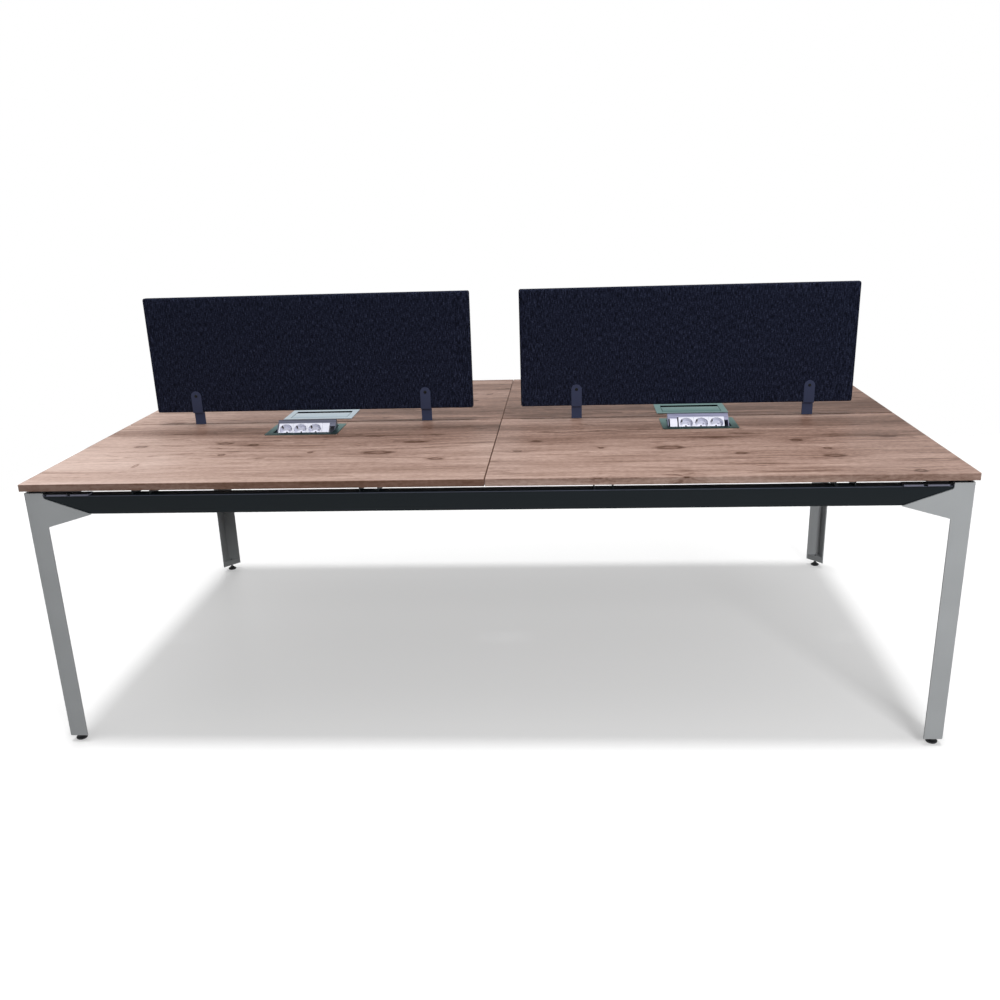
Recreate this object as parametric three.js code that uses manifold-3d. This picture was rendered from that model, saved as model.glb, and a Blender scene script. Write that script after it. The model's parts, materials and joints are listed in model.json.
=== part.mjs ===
// Four-seat benching desk with two fabric screens and four flip-up power units.
// Millimetres, +Z up, front towards -Y, origin on the floor under the middle of the tops.
import * as THREE from 'three';
import { mergeVertices } from 'three/addons/utils/BufferGeometryUtils.js';
import Module from 'manifold-3d';

const wasm = await Module();
wasm.setup();

// Whole desk
const length = 2400;
const depth = 1400;
const height = 750;

// Worktops: four faced boards with an edge band, two a side
const boardThickness = 18;
const bandThickness = 1.5;
const sideSeam = 2;
const middleSeam = 6;
const boardUnderside = height - boardThickness;

// Corner legs, folded from sheet
const legSheet = 4;
const legSetbackX = 8;
const legSetbackY = 5;
const legTop = 725;
const legBottom = 20;
const legFaceX = 50;
const legFaceY = 60;
const wingLength = 170;
const wingTipDrop = 58;
const wingRootDrop = 92;
const wingRootRadius = 4;
const reliefDrop = 15;
const reliefRadius = 7;
const bendRadius = 5;
const tabTop = 721;
const tabReach = 26;
const tabSlotAlong = { x: [56, 118], y: [66, 128] };
const tabSlotWidth = 10;
const tabSlotDepth = 14;
const footPlateTop = 40;
const footPlateSheet = 3;
const legOuterX = length / 2 - legSetbackX;
const legOuterY = depth / 2 - legSetbackY;

// Levelling feet
const footInsetX = 21;
const footInsetY = 22;
const footRadius = 15;
const footBaseHeight = 7;
const footHubRadius = 8;
const footHubTop = 12;
const studRadius = 4;
const studTop = 43;
const studClearance = 0.3;
const nutAcross = 13;
const nutHeight = 10;

// Frame beams, box section
const beamHeight = 50;
const beamDepth = 40;
const beamWall = 2;
const beamCorner = 4;
const beamTop = tabTop - legSheet;

// Top support rails, channel section open downwards
const railX = [-885, -295, 295, 885];
const railWidth = 50;
const railHeight = 20;
const railSheet = 3;
const railEndSetback = 5;
const railNotchGap = 1;

// Desk screens
const screenCentreX = { left: -592, right: 566 };
const screenWidth = 1008;
const screenHeight = 355;
const screenBottom = 790;
const screenThickness = 25;
const screenCorner = 5;
const coverCloth = 1.4;
const coverSlotWidth = 12;
const coreGap = 0.1;

// Screen straps, a folded pair at each place
const strapX = [-965, -236, 234, 940];
const strapWidth = 32;
const strapSheet = 2.5;
const strapBend = 0.4;
const strapTop = 857;
const strapTopRadius = 15.99;
const strapHoleDrop = 15;
const strapHoleRadius = 2.6;
const strapFootReach = 42;
const strapFootHole = 28;

// Flip-up power units
const unitX = 597;
const unitY = 109;
const openAngle = THREE.MathUtils.degToRad(60);
const flangeX = 222;
const flangeY = 142;
const flangeThickness = 2;
const windowX = 184;
const windowFront = -46;
const windowRear = 49.5;
const tubX = 199;
const tubFront = -58;
const tubRear = 66;
const tubDepth = 86;
const tubWall = 1.5;
const tubCorner = 4;
const tubInletRadius = 11;
const cutOutGap = 1.5;
const hingeY = 24;
const hingeZ = -31;
const bossRadius = 7;
const bossLength = 6;
const pinRadius = 2.5;
const pinGap = 0.3;
const earInner = 92.5;
const earOuter = 97;
const earHalfWidth = 9;
const flapWidth = 181;
const flapSheet = 3;
const flapFront = -23;
const flapRear = 46;
const flapRearRadius = 2;
const flapFrontRadius = 1.5;
const faceLean = THREE.MathUtils.degToRad(-10);
const headerHeight = 15;
const headerDepth = 5;
const grooveDrop = [3.5, 9];
const grooveSize = 1.6;
const cheekSheet = 2;
const faceHeight = 62;
const bodyDepth = 26;
const railLip = 2;
const moduleGap = 0.3;
const moduleHeight = faceHeight - headerHeight - railLip - 2 * moduleGap;
const socketCount = 3;
const socketPitch = 45;
const recessRadius = 19.6;
const recessDepth = 15;
const pinHoleRadius = 2.7;
const pinHoleOffset = 9.5;
const pinHoleDepth = 6;
const socketTurn = THREE.MathUtils.degToRad(45);
const blankWidth = 22;
const blankDepth = 12;
const baysFrom = {
  left: { sockets: -86, blank: 49.5, blankDrop: 0, bay: 72 },
  right: { sockets: -58, blank: -84, blankDrop: 5, bay: 77.5 },
};
const bayLipHeight = 12;

// Facets round the curves
const cylinderSides = 24;
const rodSides = 16;
const screwHoleSides = 10;
const bossSides = 12;
const pinHoleSides = 12;
const recessSides = 32;
const footSides = 20;
const strapTopSteps = 5;

// Finishes
const oak = { color: 0xb49a8a, roughness: 0.6, metalness: 0 };
const oakEdge = { color: 0x9a7f70, roughness: 0.6, metalness: 0 };
const greyPaint = { color: 0xa4a8aa, roughness: 0.5, metalness: 0.2 };
const anthracite = { color: 0x2c3236, roughness: 0.55, metalness: 0.2 };
const slatePaint = { color: 0x4b5163, roughness: 0.55, metalness: 0.2 };
const navyCloth = { color: 0x1e2231, roughness: 0.95, metalness: 0 };
const chipboard = { color: 0xb08d62, roughness: 0.9, metalness: 0 };
const aluminium = { color: 0xaab4b4, roughness: 0.35, metalness: 0.85 };
const zincSheet = { color: 0x3a3d40, roughness: 0.5, metalness: 0.6 };
const whitePlastic = { color: 0xf1f1f4, roughness: 0.4, metalness: 0 };
const blackPlastic = { color: 0x17181a, roughness: 0.6, metalness: 0 };
const steelPin = { color: 0x8d9195, roughness: 0.35, metalness: 0.9 };

// Solids from three geometry
function solid(geometry) {
  const bare = new THREE.BufferGeometry();
  bare.setAttribute('position', geometry.getAttribute('position'));
  bare.setIndex(geometry.getIndex());
  const merged = mergeVertices(bare, 1e-4);
  const vertProperties = new Float32Array(merged.getAttribute('position').array);
  const triVerts = new Uint32Array(merged.getIndex().array);
  return new wasm.Manifold(new wasm.Mesh({ numProp: 3, vertProperties, triVerts }));
}

function surface(body) {
  const mesh = body.getMesh();
  const geometry = new THREE.BufferGeometry();
  geometry.setAttribute('position', new THREE.BufferAttribute(mesh.vertProperties, 3));
  geometry.setIndex(new THREE.BufferAttribute(mesh.triVerts, 1));
  return geometry;
}

function box(from, to) {
  const size = to.map((value, axis) => value - from[axis]);
  const geometry = new THREE.BoxGeometry(...size);
  geometry.translate(...from.map((value, axis) => value + size[axis] / 2));
  return solid(geometry);
}

function cylinder(radius, span, segments = cylinderSides) {
  return new THREE.CylinderGeometry(radius, radius, span, segments);
}

// A closed outline whose corners are [across, up, radius]
function outline(corners) {
  const shape = new THREE.Shape();
  corners.forEach(([x, y, radius = 0], i) => {
    const corner = new THREE.Vector2(x, y);
    const [px, py] = corners.at(i - 1);
    const [nx, ny] = corners[(i + 1) % corners.length];
    const before = new THREE.Vector2(px, py).sub(corner).normalize();
    const after = new THREE.Vector2(nx, ny).sub(corner).normalize();
    const half = Math.acos(THREE.MathUtils.clamp(before.dot(after), -1, 1)) / 2;
    const reach = radius > 0 ? radius / Math.tan(half) : 0;
    const start = before.clone().multiplyScalar(reach).add(corner);
    const end = after.clone().multiplyScalar(reach).add(corner);
    if (i === 0) shape.moveTo(start.x, start.y);
    else shape.lineTo(start.x, start.y);
    if (radius === 0) return;
    const centre = before.clone().add(after).normalize().multiplyScalar(radius / Math.sin(half)).add(corner);
    const from = Math.atan2(start.y - centre.y, start.x - centre.x);
    const to = Math.atan2(end.y - centre.y, end.x - centre.x);
    const clockwise = before.cross(after) > 0;
    shape.absarc(centre.x, centre.y, radius, from, to, clockwise);
  });
  shape.closePath();
  return shape;
}

function rectangle(x0, x1, y0, y1, radius = 0) {
  return outline([[x0, y0, radius], [x1, y0, radius], [x1, y1, radius], [x0, y1, radius]]);
}

// Prisms of an outline; an arc takes twice as many steps as curveSegments says
function prism(shape, span, curveSegments) {
  return new THREE.ExtrudeGeometry(shape, { curveSegments, bevelEnabled: false, depth: span });
}

function alongZ(shape, from, to, curveSegments = 2) {
  const geometry = prism(shape, to - from, curveSegments);
  geometry.translate(0, 0, from);
  return solid(geometry);
}

// The outline is read as X across and Z up
function alongY(shape, from, to, curveSegments = 2) {
  const geometry = prism(shape, to - from, curveSegments);
  geometry.rotateX(Math.PI / 2);
  geometry.translate(0, to, 0);
  return solid(geometry);
}

// The outline is read as Y across and Z up
function alongX(shape, from, to, curveSegments = 2) {
  const geometry = prism(shape, to - from, curveSegments);
  geometry.rotateY(Math.PI / 2);
  geometry.rotateX(Math.PI / 2);
  geometry.translate(from, 0, 0);
  return solid(geometry);
}

function rodAlongX(radius, from, to, y, z, segments = rodSides) {
  const geometry = cylinder(radius, to - from, segments);
  geometry.rotateZ(Math.PI / 2);
  geometry.translate((from + to) / 2, y, z);
  return solid(geometry);
}

function rodAlongY(radius, from, to, x, z, segments = rodSides) {
  const geometry = cylinder(radius, to - from, segments);
  geometry.translate(x, (from + to) / 2, z);
  return solid(geometry);
}

function rodAlongZ(radius, from, to, x, y, segments = rodSides) {
  const geometry = cylinder(radius, to - from, segments);
  geometry.rotateX(Math.PI / 2);
  geometry.translate(x, y, (from + to) / 2);
  return solid(geometry);
}

// A reflected copy, with the faces turned back outwards
function mirrored(geometry, signX, signY) {
  const copy = geometry.clone();
  copy.scale(signX, signY, 1);
  if (signX * signY > 0) return copy;
  const index = copy.getIndex();
  for (let i = 0; i < index.count; i += 3) {
    const second = index.getX(i + 1);
    index.setX(i + 1, index.getX(i + 2));
    index.setX(i + 2, second);
  }
  return copy;
}

function piece(name, geometry, finish) {
  const faceted = geometry.toNonIndexed();
  faceted.computeVertexNormals();
  const mesh = new THREE.Mesh(faceted, new THREE.MeshStandardMaterial(finish));
  mesh.name = name;
  return mesh;
}

const desk = new THREE.Group();
const corners = [
  { name: 'front_left', row: 'front', side: 'left', signX: -1, signY: -1 },
  { name: 'front_right', row: 'front', side: 'right', signX: 1, signY: -1 },
  { name: 'rear_left', row: 'rear', side: 'left', signX: -1, signY: 1 },
  { name: 'rear_right', row: 'rear', side: 'right', signX: 1, signY: 1 },
];

// Worktop for the corner at +X, +Y: a board with a cut-out for its power unit
function worktopSpan(inset) {
  return {
    x0: sideSeam / 2 + inset,
    x1: length / 2 - inset,
    y0: middleSeam / 2 + inset,
    y1: depth / 2 - inset,
  };
}

function worktop() {
  const { x0, x1, y0, y1 } = worktopSpan(bandThickness);
  const board = box([x0, y0, boardUnderside], [x1, y1, height]);
  const halfX = tubX / 2 + cutOutGap;
  const cutFrom = [unitX - halfX, unitY - tubRear - cutOutGap, boardUnderside - 1];
  const cutTo = [unitX + halfX, unitY - tubFront + cutOutGap, height + 1];
  return surface(board.subtract(box(cutFrom, cutTo)));
}

function edgeBand() {
  const outer = worktopSpan(0);
  const inner = worktopSpan(bandThickness);
  const ring = rectangle(outer.x0, outer.x1, outer.y0, outer.y1);
  ring.holes.push(rectangle(inner.x0, inner.x1, inner.y0, inner.y1));
  return surface(alongZ(ring, boardUnderside, height));
}

// One folded face of a leg: the post, the pointed wing before the beam and the relief above it
function legFace(faceWidth) {
  return outline([
    [0, legBottom],
    [faceWidth, legBottom],
    [faceWidth, legTop - wingRootDrop, wingRootRadius],
    [wingLength, legTop - wingTipDrop],
    [faceWidth, legTop - reliefDrop, reliefRadius],
    [faceWidth, legTop],
    [0, legTop],
  ]);
}

// Leg measured inwards from its outer corner, moved to the corner at +X, +Y by the mirror
function leg() {
  const faceAlongX = alongY(legFace(legFaceX), 0, legSheet);
  const faceAlongY = alongX(legFace(legFaceY), 0, legSheet);
  const tabX = box([0, 0, beamTop], [wingLength, legSheet + tabReach, tabTop]);
  const tabY = box([0, 0, beamTop], [legSheet + tabReach, wingLength, tabTop]);
  let body = faceAlongX.add(faceAlongY).add(tabX).add(tabY);
  body = body.add(footPlate()).add(weldNut());
  const studHole = rodAlongZ(studRadius + studClearance, legBottom, studTop + 20, footInsetX, footInsetY);
  body = body.subtract(studHole);
  const half = tabSlotWidth / 2;
  const low = beamTop - 1;
  const high = tabTop + 1;
  for (const along of tabSlotAlong.x) {
    body = body.subtract(box([along - half, -1, low], [along + half, tabSlotDepth, high]));
  }
  for (const along of tabSlotAlong.y) {
    body = body.subtract(box([-1, along - half, low], [tabSlotDepth, along + half, high]));
  }
  const bend = outline([[0, 0, bendRadius], [length, 0], [length, depth], [0, depth]]);
  body = body.intersect(alongZ(bend, 0, height));
  const geometry = surface(body);
  geometry.scale(-1, -1, 1);
  geometry.translate(legOuterX, legOuterY, 0);
  return geometry;
}

// Triangular plate across the post with a lip folded down along its long side
function footPlate() {
  const altitude = (legFaceX * legFaceY) / Math.hypot(legFaceX, legFaceY);
  const within = 1 - footPlateSheet / altitude;
  const plate = outline([[0, 0], [legFaceX, 0], [0, legFaceY]]);
  const hollow = outline([[0, 0], [legFaceX * within, 0], [0, legFaceY * within]]);
  const block = alongZ(plate, legBottom, footPlateTop);
  return block.subtract(alongZ(hollow, legBottom - 1, footPlateTop - footPlateSheet));
}

function weldNut() {
  const nut = cylinder(nutAcross / Math.sqrt(3), nutHeight, 6);
  nut.rotateX(Math.PI / 2);
  nut.translate(footInsetX, footInsetY, footPlateTop - footPlateSheet / 2 - nutHeight / 2);
  return solid(nut);
}

function levellingFoot() {
  const profile = [
    [0, 0],
    [footRadius - 2, 0],
    [footRadius, 2],
    [footRadius, footBaseHeight - 2],
    [footRadius - 3, footBaseHeight],
    [footHubRadius, footBaseHeight],
    [footHubRadius - 1, footHubTop],
    [studRadius, footHubTop],
    [studRadius, studTop - 1],
    [studRadius - 1, studTop],
    [0, studTop],
  ].map(([radius, z]) => new THREE.Vector2(radius, z));
  const geometry = new THREE.LatheGeometry(profile, footSides);
  geometry.rotateX(Math.PI / 2);
  const foot = surface(solid(geometry));
  foot.translate(legOuterX - footInsetX, legOuterY - footInsetY, 0);
  return foot;
}

const boardShape = worktop();
const bandShape = edgeBand();
const legShape = leg();
const footShape = levellingFoot();
for (const { name, signX, signY } of corners) {
  desk.add(piece(`worktop_${name}`, mirrored(boardShape, signX, signY), oak));
  desk.add(piece(`edge_band_${name}`, mirrored(bandShape, signX, signY), oakEdge));
  desk.add(piece(`leg_${name}`, mirrored(legShape, signX, signY), greyPaint));
  desk.add(piece(`levelling_foot_${name}`, mirrored(footShape, signX, signY), blackPlastic));
}

// Box beams: two long ones between the legs, two short ones between the long ones
function beamSection(outerFace) {
  const far = outerFace - beamDepth;
  const section = rectangle(far, outerFace, beamTop - beamHeight, beamTop, beamCorner);
  const hollow = beamWall;
  const inside = beamCorner - beamWall;
  section.holes.push(
    rectangle(far + hollow, outerFace - hollow, beamTop - beamHeight + hollow, beamTop - hollow, inside),
  );
  return section;
}

const beamOuterX = legOuterX - legSheet;
const beamOuterY = legOuterY - legSheet;
const longBeam = surface(alongX(beamSection(beamOuterY), -beamOuterX, beamOuterX));
const shortReach = beamOuterY - beamDepth;
const shortBeam = surface(alongY(beamSection(beamOuterX), -shortReach, shortReach));
desk.add(piece('beam_front', mirrored(longBeam, 1, -1), anthracite));
desk.add(piece('beam_rear', longBeam, anthracite));
desk.add(piece('beam_left', mirrored(shortBeam, -1, 1), anthracite));
desk.add(piece('beam_right', shortBeam, anthracite));

// Top support rail: a channel notched to sit on the long beams
function supportRail(x) {
  const half = railWidth / 2;
  const low = boardUnderside - railHeight;
  const end = beamOuterY - railEndSetback;
  const section = outline([
    [x - half, low],
    [x - half + railSheet, low],
    [x - half + railSheet, boardUnderside - railSheet, 1],
    [x + half - railSheet, boardUnderside - railSheet, 1],
    [x + half - railSheet, low],
    [x + half, low],
    [x + half, boardUnderside, 1 + railSheet],
    [x - half, boardUnderside, 1 + railSheet],
  ]);
  let rail = alongY(section, -end, end);
  const notchFrom = beamOuterY - beamDepth - railNotchGap;
  for (const sign of [-1, 1]) {
    const near = Math.min(sign * notchFrom, sign * depth);
    const far = Math.max(sign * notchFrom, sign * depth);
    rail = rail.subtract(box([x - railWidth, near, low - 1], [x + railWidth, far, beamTop]));
  }
  return surface(rail);
}

railX.forEach((x, i) => desk.add(piece(`support_rail_${i + 1}`, supportRail(x), anthracite)));

// Desk screens: a core board in a sewn cover that is open along the bottom
function screenBlock(centre, inset) {
  const half = screenWidth / 2 - inset;
  const front = rectangle(
    centre - half,
    centre + half,
    screenBottom + inset,
    screenBottom + screenHeight - inset,
    screenCorner - inset,
  );
  return alongY(front, inset - screenThickness / 2, screenThickness / 2 - inset);
}

function screenCover(centre) {
  const half = screenWidth / 2 - 2 * screenCorner;
  const slot = box(
    [centre - half, -coverSlotWidth / 2, screenBottom - 1],
    [centre + half, coverSlotWidth / 2, screenBottom + 2 * coverCloth],
  );
  return surface(screenBlock(centre, 0).subtract(screenBlock(centre, coverCloth)).subtract(slot));
}

for (const [side, centre] of Object.entries(screenCentreX)) {
  const core = surface(screenBlock(centre, coverCloth + coreGap));
  desk.add(piece(`screen_core_${side}`, core, chipboard));
  desk.add(piece(`screen_cover_${side}`, screenCover(centre), navyCloth));
}

// Screen strap on the +Y side: up the screen, under it, down the seam and out under the top
function screenStrap(x) {
  const face = screenThickness / 2;
  const outer = face + strapSheet;
  const bend = strapBend;
  const fold = outline([
    [face, strapTop],
    [face, screenBottom],
    [0, screenBottom],
    [0, boardUnderside - strapSheet, bend + strapSheet],
    [strapFootReach, boardUnderside - strapSheet],
    [strapFootReach, boardUnderside],
    [strapSheet, boardUnderside, bend],
    [strapSheet, screenBottom - strapSheet, bend],
    [outer, screenBottom - strapSheet, bend + strapSheet],
    [outer, strapTop],
  ]);
  const half = strapWidth / 2;
  const roundTop = outline([
    [x - half, boardUnderside - 2 * strapSheet],
    [x + half, boardUnderside - 2 * strapSheet],
    [x + half, strapTop, strapTopRadius],
    [x - half, strapTop, strapTopRadius],
  ]);
  let strap = alongX(fold, x - half, x + half);
  strap = strap.intersect(alongY(roundTop, -1, strapFootReach + 1, strapTopSteps));
  const holeZ = strapTop - strapHoleDrop;
  const footLow = boardUnderside - 2 * strapSheet;
  strap = strap.subtract(rodAlongY(strapHoleRadius, face - 1, outer + 1, x, holeZ, screwHoleSides));
  strap = strap.subtract(
    rodAlongZ(strapHoleRadius, footLow, boardUnderside + 1, x, strapFootHole, screwHoleSides),
  );
  return surface(strap);
}

strapX.forEach((x, i) => {
  const strap = screenStrap(x);
  desk.add(piece(`screen_strap_front_${i + 1}`, mirrored(strap, 1, -1), slatePaint));
  desk.add(piece(`screen_strap_rear_${i + 1}`, strap, slatePaint));
});

// Power unit pieces, with the user towards -Y and z = 0 on the worktop
function powerFrame() {
  const ring = rectangle(-flangeX / 2, flangeX / 2, -flangeY / 2, flangeY / 2, 2);
  ring.holes.push(rectangle(-windowX / 2, windowX / 2, windowFront, windowRear, 1));
  let frame = alongZ(ring, 0, flangeThickness);
  for (const sign of [-1, 1]) {
    const near = Math.min(sign * earInner, sign * earOuter);
    const far = Math.max(sign * earInner, sign * earOuter);
    const ear = outline([
      [hingeY - earHalfWidth, flangeThickness / 2],
      [hingeY - bossRadius, hingeZ - bossRadius, bossRadius - 1],
      [hingeY + bossRadius, hingeZ - bossRadius, bossRadius - 1],
      [hingeY + earHalfWidth, flangeThickness / 2],
    ]);
    frame = frame.add(alongX(ear, near, far));
  }
  return surface(frame.subtract(rodAlongX(pinRadius + pinGap, -earOuter - 1, earOuter + 1, hingeY, hingeZ)));
}

function powerTub() {
  const half = tubX / 2;
  const outside = alongZ(rectangle(-half, half, tubFront, tubRear, tubCorner), -tubDepth, 0);
  const inside = rectangle(
    tubWall - half,
    half - tubWall,
    tubFront + tubWall,
    tubRear - tubWall,
    tubCorner - tubWall,
  );
  const hollow = alongZ(inside, tubWall - tubDepth, 1);
  const inlet = rodAlongZ(tubInletRadius, -tubDepth - 1, 2 * tubWall - tubDepth, half / 2, tubRear / 2);
  return surface(outside.subtract(hollow).subtract(inlet));
}

// Point of the flap's section: down the leaning face, then inwards behind it
function facePoint(down, inward) {
  const sin = Math.sin(faceLean);
  const cos = Math.cos(faceLean);
  const y = flapFront - down * sin + inward * cos;
  const z = flangeThickness - down * cos - inward * sin;
  return [y - hingeY, z - hingeZ];
}

// A block held to the leaning face: across, down it and inwards behind it
function faceBlock(x0, x1, down0, down1, in0, in1) {
  const section = outline([
    facePoint(down0, in0),
    facePoint(down1, in0),
    facePoint(down1, in1),
    facePoint(down0, in1),
  ]);
  return alongX(section, x0, x1);
}

// Flap about its hinge axis: lid, grooved header, cheeks with bosses, and lower rail
function powerFlap(bays) {
  const half = flapWidth / 2;
  const lidTop = flangeThickness - hingeZ;
  const lidLow = lidTop - flapSheet;
  const lidRear = flapRear - hingeY;
  const [headY, headZ] = facePoint(headerHeight, headerDepth);
  const lid = outline([
    [lidRear, lidTop, flapRearRadius],
    [...facePoint(0, 0), flapFrontRadius],
    facePoint(headerHeight, 0),
    [headY, headZ],
    [headY + (lidLow - headZ) * Math.tan(faceLean), lidLow],
    [lidRear, lidLow],
  ]);
  const cheek = outline([
    [lidRear - 2 * flapSheet, lidTop - 1],
    facePoint(1, 0.5),
    facePoint(faceHeight, 0.5),
    facePoint(faceHeight, bodyDepth),
    [-bossRadius, -bossRadius, bossRadius - 2],
    [bossRadius, -bossRadius, bossRadius - 2],
  ]);
  let flap = alongX(lid, -half, half);
  for (const sign of [-1, 1]) {
    const outer = sign * half;
    const inner = sign * (half - cheekSheet);
    const bossEnd = sign * (half - bossLength);
    flap = flap.add(alongX(cheek, Math.min(outer, inner), Math.max(outer, inner)));
    flap = flap.add(rodAlongX(bossRadius, Math.min(outer, bossEnd), Math.max(outer, bossEnd), 0, 0, bossSides));
  }
  const under = headerHeight - 1;
  flap = flap.add(faceBlock(-half, half, faceHeight - railLip, faceHeight, 0.5, bodyDepth));
  flap = flap.add(faceBlock(bays.bay, half, under, headerHeight + bayLipHeight, 1, headerDepth));
  if (bays.blankDrop > 0) {
    const lipEnd = bays.blank + blankWidth;
    flap = flap.add(faceBlock(-half, lipEnd, under, headerHeight + bays.blankDrop, 1, headerDepth));
  }
  for (const drop of grooveDrop) {
    const groove = faceBlock(-half - 1, half + 1, drop, drop + grooveSize, -1, grooveSize);
    flap = flap.subtract(groove);
  }
  return surface(flap.subtract(rodAlongX(pinRadius + pinGap, -half - 1, half + 1, 0, 0)));
}

// Module in the flap's face: x from its left side, z down from the header, y inwards
function socketStrip() {
  const width = socketCount * socketPitch;
  let strip = alongY(rectangle(0, width, -moduleHeight, 0, 1), 0, bodyDepth, 1);
  for (let i = 0; i < socketCount; i += 1) {
    const x = (i + 0.5) * socketPitch;
    const z = -moduleHeight / 2;
    strip = strip.subtract(rodAlongY(recessRadius, -1, recessDepth, x, z, recessSides));
    for (const sign of [-1, 1]) {
      const across = x + sign * pinHoleOffset * Math.cos(socketTurn);
      const up = z + sign * pinHoleOffset * Math.sin(socketTurn);
      const end = recessDepth + pinHoleDepth;
      strip = strip.subtract(rodAlongY(pinHoleRadius, recessDepth - 1, end, across, up, pinHoleSides));
    }
  }
  return surface(strip);
}

function blankModule(drop) {
  return surface(alongY(rectangle(0, blankWidth, -moduleHeight, -drop, 1), 0, blankDepth, 1));
}

const frameShape = powerFrame();
const tubShape = powerTub();
const pinShape = surface(rodAlongX(pinRadius, -earOuter, earOuter, hingeY, hingeZ));
const stripShape = socketStrip();
const blankShapes = {
  left: blankModule(baysFrom.left.blankDrop),
  right: blankModule(baysFrom.right.blankDrop),
};
const flapShapes = { left: powerFlap(baysFrom.left), right: powerFlap(baysFrom.right) };
for (const { name, row, side, signX, signY } of corners) {
  const unit = new THREE.Group();
  unit.position.set(signX * unitX, signY * unitY, height);
  unit.rotation.z = row === 'front' ? 0 : Math.PI;
  unit.add(piece(`power_frame_${name}`, frameShape, aluminium));
  unit.add(piece(`power_tub_${name}`, tubShape, zincSheet));
  unit.add(piece(`hinge_pin_${name}`, pinShape, steelPin));

  const flap = new THREE.Group();
  flap.position.set(0, hingeY, hingeZ);
  flap.rotation.x = row === 'front' ? -openAngle : 0;
  flap.add(piece(`power_flap_${name}`, flapShapes[side], aluminium));
  const face = new THREE.Group();
  const [faceY, faceZ] = facePoint(headerHeight + moduleGap, 0);
  face.position.set(0, faceY, faceZ);
  face.rotation.x = -faceLean;
  const strip = piece(`socket_strip_${name}`, stripShape, whitePlastic);
  strip.position.x = baysFrom[side].sockets;
  const blank = piece(`blank_module_${name}`, blankShapes[side], whitePlastic);
  blank.position.x = baysFrom[side].blank;
  face.add(strip, blank);
  flap.add(face);
  unit.add(flap);
  desk.add(unit);
}

export default desk;
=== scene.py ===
import json
import math

import bmesh
import bpy
import numpy as np
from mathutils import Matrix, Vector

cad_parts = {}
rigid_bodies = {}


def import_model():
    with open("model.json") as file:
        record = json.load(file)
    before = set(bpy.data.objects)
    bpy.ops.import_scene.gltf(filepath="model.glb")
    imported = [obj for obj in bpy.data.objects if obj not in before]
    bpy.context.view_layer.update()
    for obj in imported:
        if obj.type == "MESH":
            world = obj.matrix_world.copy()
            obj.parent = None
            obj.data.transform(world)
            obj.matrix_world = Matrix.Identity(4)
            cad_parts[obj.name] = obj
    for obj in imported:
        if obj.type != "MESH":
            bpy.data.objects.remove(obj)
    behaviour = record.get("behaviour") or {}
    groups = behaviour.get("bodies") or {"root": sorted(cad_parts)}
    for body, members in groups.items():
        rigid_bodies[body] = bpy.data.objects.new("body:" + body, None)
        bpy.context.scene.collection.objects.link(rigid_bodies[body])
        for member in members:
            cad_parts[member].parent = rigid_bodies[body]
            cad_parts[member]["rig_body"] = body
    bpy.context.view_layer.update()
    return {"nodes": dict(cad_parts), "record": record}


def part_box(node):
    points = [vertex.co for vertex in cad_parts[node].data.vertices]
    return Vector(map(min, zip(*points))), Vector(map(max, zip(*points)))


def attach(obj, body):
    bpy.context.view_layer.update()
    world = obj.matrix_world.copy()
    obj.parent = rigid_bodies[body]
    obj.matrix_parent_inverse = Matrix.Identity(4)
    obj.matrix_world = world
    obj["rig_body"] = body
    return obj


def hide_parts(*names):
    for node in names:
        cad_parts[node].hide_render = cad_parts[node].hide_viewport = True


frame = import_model()


# Studio: a pale floor, an even white surround and a camera at standing eye height before the desk.
# A broad lamp straight above leaves the soft footprint shadow, and one lamp before it and a weaker one
# behind it light the legs.
scene = bpy.context.scene
scene.view_settings.view_transform = "Standard"


class Tone:
    """A shader socket. Arithmetic on it adds Math nodes, and node() adds any other kind."""

    def __init__(self, tree, socket=None):
        self.tree = tree
        self.socket = socket

    def node(self, kind, settings=None, inputs=None, output=0):
        made = self.tree.nodes.new(kind)
        for name, value in (settings or {}).items():
            if name != "stops":
                setattr(made, name, value)
                continue
            elements = made.color_ramp.elements
            for place, _ in value[2:]:
                elements.new(place)
            for element, (place, colour) in zip(elements, value):
                element.position = place
                element.color = colour
        for key, value in (inputs or {}).items():
            if isinstance(value, Tone):
                self.tree.links.new(value.socket, made.inputs[key])
            else:
                made.inputs[key].default_value = value
        return Tone(self.tree, made.outputs[output])

    def math(self, operation, *values, clamp=False):
        settings = {"operation": operation, "use_clamp": clamp}
        return self.node("ShaderNodeMath", settings, dict(enumerate(values)))

    def __add__(self, other):
        return self.math("ADD", self, other)

    def __sub__(self, other):
        return self.math("SUBTRACT", self, other)

    def __rsub__(self, other):
        return self.math("SUBTRACT", other, self)

    def __mul__(self, other):
        return self.math("MULTIPLY", self, other)

    __radd__ = __add__
    __rmul__ = __mul__

    def into(self, socket):
        self.tree.links.new(self.socket, socket)


def mixed(share, first, second):
    """The first colour where the share is 0, the second where it is 1, and a blend between."""
    factor, colour_a, colour_b, result = 0, 6, 7, 2
    inputs = {factor: share, colour_a: first, colour_b: second}
    return share.node("ShaderNodeMix", {"data_type": "RGBA"}, inputs, result)


def coordinate(place, axis):
    """The point's X, Y or Z."""
    return place.node("ShaderNodeSeparateXYZ", inputs={0: place}, output=axis)


def seen_white(tree):
    """1 for rays from the camera and for mirrored or refracted rays, otherwise 0."""
    start = Tone(tree)
    direct = start.node("ShaderNodeLightPath", output="Is Camera Ray")
    mirrored = start.node("ShaderNodeLightPath", output="Is Glossy Ray")
    refracted = start.node("ShaderNodeLightPath", output="Is Transmission Ray")
    return start.math("MAXIMUM", start.math("MAXIMUM", direct, mirrored), refracted)


crease = math.radians(35)


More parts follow.
